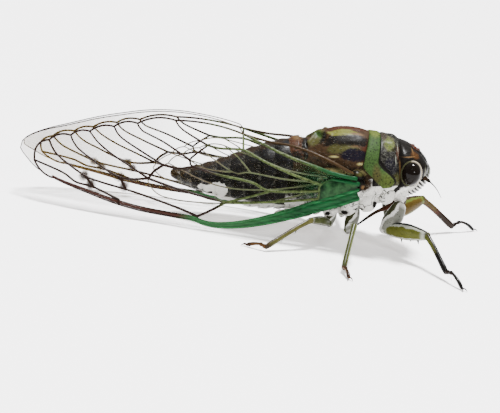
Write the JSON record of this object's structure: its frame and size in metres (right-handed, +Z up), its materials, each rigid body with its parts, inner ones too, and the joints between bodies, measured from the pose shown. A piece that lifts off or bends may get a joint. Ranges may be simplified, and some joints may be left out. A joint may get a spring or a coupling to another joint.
{
  "type": "annual cicada model",
  "caption": "Life-size still model of an annual cicada standing on six legs, wings folded like a roof over the body.",
  "frame": {"origin": "middle of the bounding box on the floor that the feet stand on", "axes": "+X towards the head, the longest way; +Y to the animal's left; +Z up"},
  "size_m": [0.06, 0.036, 0.0136],
  "materials": {
    "head": "black chitin with dull yellow-green patches, satin",
    "face": "glossy black chitin with pale cross bars",
    "eye": "very glossy, near-black",
    "collar": "green chitin, satin",
    "back": "black, red-brown and olive chitin, glossy",
    "underside": "white waxy bloom over black, matte",
    "abdomen": "black chitin with short silvery hair",
    "wing_vein": "green to dark brown veins, satin",
    "wing_membrane": "clear thin membrane with a warm tint",
    "leg": "olive to black chitin, satin",
    "foot": "dark brown chitin, satin"
  },
  "bodies": {
    "root": {"head": "head", "postclypeus": "face", "rostrum": "leg", "eye_right": "eye", "eye_left": "eye", "antenna_right": "face", "antenna_left": "face", "pronotum": "head", "pronotal_collar": "collar", "mesonotum": "back", "metanotum": "back", "thorax_underside": "underside", "operculum_right": "underside", "operculum_left": "underside", "abdomen": "abdomen", "abdomen_tip": "abdomen", "forewing_right": "wing_vein", "forewing_left": "wing_vein", "hindwing_right": "wing_vein", "hindwing_left": "wing_vein", "coxa_front_right": "underside", "coxa_front_left": "underside", "coxa_middle_right": "underside", "coxa_middle_left": "underside", "coxa_hind_right": "underside", "coxa_hind_left": "underside", "femur_front_right": "leg", "femur_front_left": "leg", "femur_middle_right": "leg", "femur_middle_left": "leg", "femur_hind_right": "leg", "femur_hind_left": "leg", "tibia_front_right": "leg", "tibia_front_left": "leg", "tibia_middle_right": "leg", "tibia_middle_left": "leg", "tibia_hind_right": "leg", "tibia_hind_left": "leg", "tarsus_front_right": "foot", "tarsus_front_left": "foot", "tarsus_middle_right": "foot", "tarsus_middle_left": "foot", "tarsus_hind_right": "foot", "tarsus_hind_left": "foot"}
  },
  "joints": []
}
